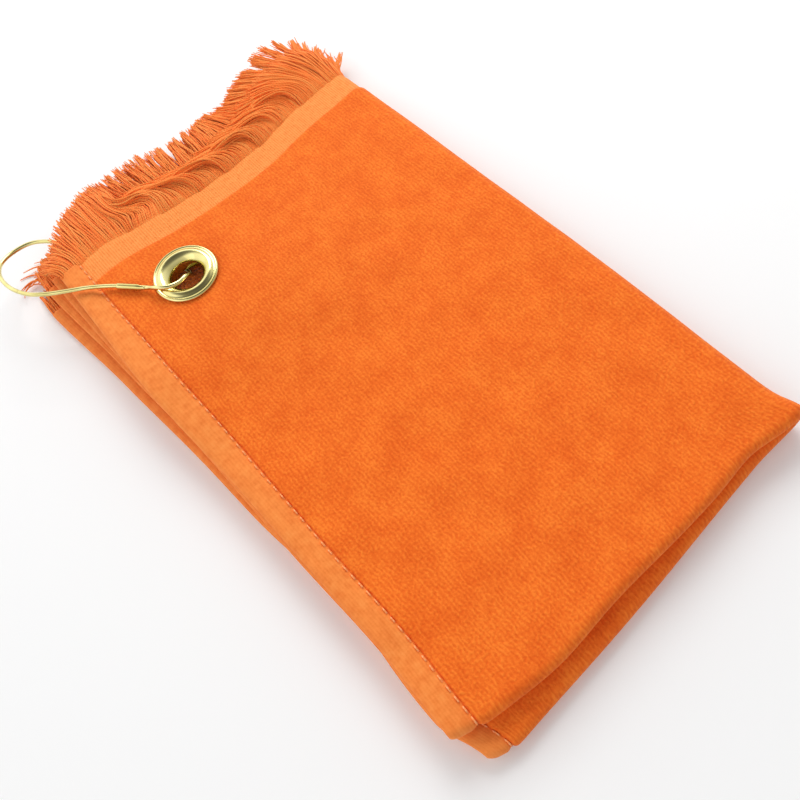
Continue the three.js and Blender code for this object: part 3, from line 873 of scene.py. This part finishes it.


def terryMaterial():
    # the uncut back: rows of small standing loops, rough and deeply pitted, with painted shade darkening the
    # pits
    material, tree, shader = startMaterial(
        "cotton_terry_loops", Roughness=0.95, Specular_IOR_Level=0.1, Sheen_Weight=0.3,
    )
    place = addNode(tree, "Attribute", attribute_name="flatPlace").outputs["Vector"]
    loops = addNode(tree, "TexVoronoi", {"Vector": place, "Scale": 1 / terryLook["loop"], "Randomness": 0.55})
    # the deep tone lies in the pits between loops, where the relief is lowest: painted shade
    tones = [(0.1, terryLook["light"]), (0.75, terryLook["deep"])]
    colour = addNode(tree, "ValToRGB", {"Fac": loops}, tones)
    standing = addNode(tree, "Math", {0: 1.0, 1: loops}, operation="SUBTRACT")
    giveSurface(tree, shader, colour, standing, 0.9, 0.9)
    return material


weaveLook = {
    "light": "#ff9e50", "body": "#fb8f41", "deep": "#f07d33", "glow": "#ffc090",
    "warp": 0.95, "weft": 0.7,                # mm between yarns, coarser than real so that they show
    "rubbed": -0.75,                          # how much flatter the weave is on the hems
    "weftShare": 0.2, "weaveShare": 0.45, "fuzzShare": 1.3,
}


def weaveMaterial():
    # plain weave: warp ribs along the towel, crossed by finer weft, matt and a little paler than the
    # pile; on the hems it is rubbed soft
    material, tree, shader = startMaterial(
        "flat_woven_cotton", Roughness=0.85, Specular_IOR_Level=0.2, Sheen_Weight=0.25,
        Sheen_Tint=linear(weaveLook["glow"]),
    )
    place = addNode(tree, "Attribute", attribute_name="flatPlace").outputs["Vector"]
    ribs = {"Vector": place, "Scale": waveUnit / weaveLook["warp"], "Distortion": 0.5}
    warp = addNode(tree, "TexWave", ribs, bands_direction="X").outputs["Fac"]
    crossing = {"Vector": place, "Scale": waveUnit / weaveLook["weft"], "Distortion": 0.5}
    weft = addNode(tree, "TexWave", crossing, bands_direction="Y").outputs["Fac"]
    slub = addNode(tree, "TexNoise", {"Vector": place, "Scale": 0.5, "Detail": 4.0})
    onHem = addNode(tree, "SeparateXYZ", {0: place}).outputs[2]
    rubbed = addNode(tree, "Math", {0: onHem, 1: weaveLook["rubbed"], 2: 1.0}, operation="MULTIPLY_ADD")
    cross = addNode(tree, "Math", {0: weft, 1: weaveLook["weftShare"], 2: warp}, operation="MULTIPLY_ADD")
    worn = addNode(tree, "Math", {0: cross, 1: rubbed}, operation="MULTIPLY")
    tone = addNode(tree, "Math", {0: worn, 1: weaveLook["weaveShare"], 2: slub}, operation="MULTIPLY_ADD")
    tones = [(0.34, weaveLook["deep"]), (0.64, weaveLook["body"]), (0.98, weaveLook["light"])]
    colour = addNode(tree, "ValToRGB", {"Fac": tone}, tones)
    fuzz = addNode(tree, "TexNoise", {"Vector": place, "Scale": 1.7, "Detail": 4.0, "Roughness": 0.7})
    high = addNode(tree, "Math", {0: fuzz, 1: weaveLook["fuzzShare"], 2: worn}, operation="MULTIPLY_ADD")
    giveSurface(tree, shader, colour, high, 0.5, 0.25)
    return material


yarnLook = {
    "light": "#ff9c4c", "body": "#ff8c3c", "deep": "#ff8134", "glow": "#ffc090",
    "twist": 2.4,              # mm for one turn of the two plies
    "paintedGrooveShade": 0.12,
}


def yarnMaterial():
    # two-ply cotton yarn: soft, matt, each yarn a slightly different orange, with its twist as a
    # slanting groove that also darkens the colour as painted shade
    material, tree, shader = startMaterial(
        "cotton_fringe_yarn", Roughness=0.85, Specular_IOR_Level=0.2, Sheen_Weight=0.4,
        Sheen_Tint=linear(yarnLook["glow"]),
    )
    place = addNode(tree, "Attribute", attribute_name="flatPlace").outputs["Vector"]
    turn, gone, tone = addNode(tree, "SeparateXYZ", {0: place}).outputs
    turns = addNode(tree, "Math", {0: gone, 1: 1 / yarnLook["twist"], 2: turn}, operation="MULTIPLY_ADD")
    phase = addNode(tree, "Math", {0: turns, 1: 4 * math.pi}, operation="MULTIPLY")
    groove = addNode(tree, "Math", {0: phase}, operation="SINE")
    # down in the groove the colour is a little darker, painted shade; tone is each yarn's own orange
    shade = addNode(tree, "Math", {0: groove, 1: yarnLook["paintedGrooveShade"], 2: tone}, operation="MULTIPLY_ADD")
    tones = [(0.0, yarnLook["deep"]), (0.45, yarnLook["body"]), (1.0, yarnLook["light"])]
    colour = addNode(tree, "ValToRGB", {"Fac": shade}, tones)
    giveSurface(tree, shader, colour, groove, 0.35, 0.15)
    return material


threadLook = {"deep": "#fd9850", "light": "#ffae72"}


def threadMaterial():
    # spun polyester sewing thread: smoother and brighter than the cotton
    material, tree, shader = startMaterial("polyester_sewing_thread", Roughness=0.5, Specular_IOR_Level=0.4)
    place = addNode(tree, "Attribute", attribute_name="flatPlace").outputs["Vector"]
    ply = {"Vector": place, "Scale": 0.6, "Distortion": 0.3}
    twist = addNode(tree, "TexWave", ply, bands_direction="DIAGONAL").outputs["Fac"]
    tones = [(0.0, threadLook["deep"]), (1.0, threadLook["light"])]
    colour = addNode(tree, "ValToRGB", {"Fac": twist}, tones)
    giveSurface(tree, shader, colour, twist, 0.3, 0.1)
    return material


brassLook = {
    "bright": "#e8dd9a", "worn": "#cdbf78",
    "marks": 120.0,            # per metre, so handling marks of about 8 mm
    "smooth": 0.12, "dull": 0.2,
}


def brassMaterial():
    # brass-plated steel, tumbled bright: a pale greenish gold with soft handling marks in its gloss
    material, tree, shader = startMaterial("plated_brass", Metallic=1.0)
    place = addNode(tree, "TexCoord").outputs["Object"]
    marks = addNode(tree, "TexNoise", {"Vector": place, "Scale": brassLook["marks"], "Detail": 1.0})
    tones = [(0.3, brassLook["worn"]), (0.65, brassLook["bright"])]
    colour = addNode(tree, "ValToRGB", {"Fac": marks}, tones)
    dulling = {"Value": marks, "To Min": brassLook["smooth"], "To Max": brassLook["dull"]}
    gloss = addNode(tree, "MapRange", dulling)
    tree.links.new(gloss.outputs[0], shader.inputs["Roughness"])
    giveSurface(tree, shader, colour, marks, 0.02, 0.05)
    return material


velour, terry, weave = velourMaterial(), terryMaterial(), weaveMaterial()
yarn, thread, brass = yarnMaterial(), threadMaterial(), brassMaterial()
cloth.data.materials.append(velour)
cloth.data.materials.append(terry)
for piece in (outerBand, innerBand, upperHem, lowerHem):
    piece.data.materials.append(weave)
for piece in fringes.values():
    piece.data.materials.append(yarn)
for piece in (upperStitching, lowerStitching):
    piece.data.materials.append(thread)
for piece in (eyelet, ringWire, gateWire, sleeve):
    piece.data.materials.append(brass)
washer = frame["nodes"]["grommet_washer"]
washer.material_slots[0].material = brass
print("materials made")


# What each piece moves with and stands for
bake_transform(cloth)
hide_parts("lower_cloth", "upper_cloth")
for piece, layer in ((outerBand, "outer"), (innerBand, "inner")):
    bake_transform(piece)
    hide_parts(f"lower_{layer}_band", f"upper_{layer}_band")
for half, hem, stitching in (("upper", upperHem, upperStitching), ("lower", lowerHem, lowerStitching)):
    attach(hem, f"{half}_half")
    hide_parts(f"{half}_hem")
    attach(stitching, f"{half}_half")
    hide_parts(f"{half}_hem_thread")
for name, piece in fringes.items():
    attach(piece, name.split("_")[0] + "_half")
    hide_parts(f"{name}_fringe")
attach(eyelet, "upper_half")
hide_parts("grommet_eyelet")
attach(ringWire, "hook")
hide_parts("hook_wire")
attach(sleeve, "hook")
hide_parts("hook_sleeve")
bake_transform(gateWire)
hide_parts("hook_gate")

# Floor, light and camera
floorReach = 15                # metres each way
floorCorners = [(x * floorReach, y * floorReach, 0) for x, y in ((-1, -1), (1, -1), (1, 1), (-1, 1))]
floorMesh = bpy.data.meshes.new("studio_floor")
floorMesh.from_pydata(floorCorners, [], [(0, 1, 2, 3)])
floor = bpy.data.objects.new("studio_floor", floorMesh)
bpy.context.scene.collection.objects.link(floor)
floorFinish = startMaterial("white_paper", Roughness=0.9, Base_Color=(0.96, 0.96, 0.96, 1))[0]
floorMesh.materials.append(floorFinish)

# The sky is a pale tent, brightest at half height, open and dark overhead and dimmer on the near
# side; behind the floor it is seen as plain pale paper
studio = {
    "sky": 1.38, "near": 0.4, "far": 1.2,     # the sky's strength, and its share on each side
    "farSide": (-0.35, 0.94, 0),
    "key": 4.6, "fill": 0.4,                  # watts
    "paper": "#f2f1f0",
}
tent = [(0.0, "#d4d4d4"), (0.3, "#f4f4f4"), (0.7, "#ffffff"), (0.86, "#8a8a8a"), (1.0, "#5c5c5c")]
world = bpy.data.worlds.new("studio_sky")
world.use_nodes = True
bpy.context.scene.world = world
sky = world.node_tree
way = addNode(sky, "TexCoord").outputs["Generated"]
height = addNode(sky, "SeparateXYZ", {0: way}).outputs[2]
glow = addNode(sky, "ValToRGB", {"Fac": height}, tent)
ahead = addNode(sky, "VectorMath", {0: way, 1: studio["farSide"]}, operation="DOT_PRODUCT").outputs["Value"]
dim, bright = studio["sky"] * studio["near"], studio["sky"] * studio["far"]
level = addNode(sky, "MapRange", {"Value": ahead, "From Min": -1.0, "To Min": dim, "To Max": bright})
lit = sky.nodes["Background"]
sky.links.new(glow.outputs[0], lit.inputs["Color"])
sky.links.new(level.outputs[0], lit.inputs["Strength"])
backdrop = addNode(sky, "Background", {"Color": linear(studio["paper"])})
seen = addNode(sky, "LightPath").outputs["Is Camera Ray"]
mixed = addNode(sky, "MixShader", {0: seen, 1: lit, 2: backdrop})
sky.links.new(mixed.outputs[0], sky.nodes["World Output"].inputs["Surface"])


def addLight(name, place, size, power):
    # a square lamp, size metres wide, turned to the frame's middle
    lamp = bpy.data.lights.new(name, "AREA")
    lamp.shape = "SQUARE"
    lamp.size = size
    lamp.energy = power
    holder = bpy.data.objects.new(name, lamp)
    holder.location = place
    holder.rotation_euler = (-Vector(place)).to_track_quat("-Z", "Y").to_euler()
    bpy.context.scene.collection.objects.link(holder)


addLight("key_light", (0.44, 0.6, 0.62), 0.5, studio["key"])
addLight("fill_light", (-0.7, -0.1, 0.5), 0.6, studio["fill"])

view = {
    "azimuth": -24.47, "elevation": 64.01, "roll": -17.94,   # degrees
    "distance": 225.71,                                      # mm, to the target
    "target": (54.47, 83.19, 12.1),                          # mm, on the towel's top
    "lens": 31.64,
}


def placeCamera():
    # looks along its back vector at the target, rolled about the line of sight
    azimuth, elevation, roll = (math.radians(view[k]) for k in ("azimuth", "elevation", "roll"))
    flatShare = math.cos(elevation)
    back = np.array([math.sin(azimuth) * flatShare, -math.cos(azimuth) * flatShare, math.sin(elevation)])
    right = np.cross(-back, [0, 0, 1.0])
    right /= np.linalg.norm(right)
    up = np.cross(right, -back)
    rolledRight = right * math.cos(roll) + up * math.sin(roll)
    rolledUp = up * math.cos(roll) - right * math.sin(roll)
    place = toFrame(np.array(view["target"]) + back * view["distance"])
    data = bpy.data.cameras.new("camera")
    data.lens = view["lens"]
    data.clip_start = 0.01
    camera = bpy.data.objects.new("camera", data)
    columns = np.stack([rolledRight, rolledUp, back, place], 1)
    camera.matrix_world = Matrix([*columns.tolist(), [0, 0, 0, 1]])
    bpy.context.scene.collection.objects.link(camera)
    bpy.context.scene.camera = camera


placeCamera()
bpy.context.scene.view_settings.view_transform = "Standard"
print("stage set")
